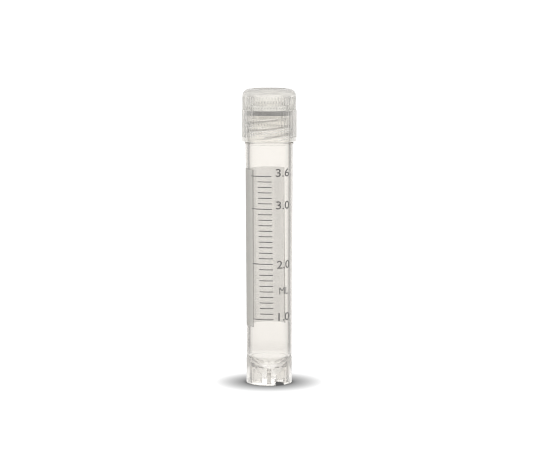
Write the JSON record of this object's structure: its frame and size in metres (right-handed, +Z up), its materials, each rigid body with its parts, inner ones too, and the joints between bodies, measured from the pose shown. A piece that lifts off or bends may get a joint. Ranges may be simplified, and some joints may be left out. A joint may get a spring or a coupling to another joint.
{
  "type": "cryovial",
  "caption": "Self-standing cryogenic vial with a clear graduated tube, a star foot, a knurled screw cap on an outside thread and a silicone sealing ring.",
  "frame": {"origin": "centre of the foot's ring where it stands on the bench", "axes": "+Z up along the tube's axis, -Y towards the graduated front, +X to the right seen from the front"},
  "size_m": [0.0136, 0.0136, 0.0731],
  "materials": {
    "clear_polypropylene": "clear natural polypropylene, smooth and glossy, faintly warm",
    "milky_polypropylene": "translucent milky polypropylene with a soft gloss",
    "silicone": "grey silicone, matt",
    "white_ink": "white screen-printed writing panel, matt",
    "grey_ink": "dark grey screen-printed scale, matt"
  },
  "bodies": {
    "vial": {"tube": "clear_polypropylene"},
    "seal_carrier": {"sealing_ring": "silicone"},
    "closure": {"cap": "milky_polypropylene"}
  },
  "joints": [
    {"name": "cap_lift", "type": "slide", "parent": "vial", "child": "seal_carrier", "axis": [0, 0, 1], "range_m": [0, 0.009]},
    {"name": "cap_turn", "type": "hinge", "parent": "seal_carrier", "child": "closure", "pos_m": [0, 0, 0.0602], "axis": [0, 0, 1], "range_deg": [0, 810]}
  ],
  "couplings": [
    {"joint": "cap_turn", "follows": "cap_lift", "rad_per_m": 1570.8}
  ]
}
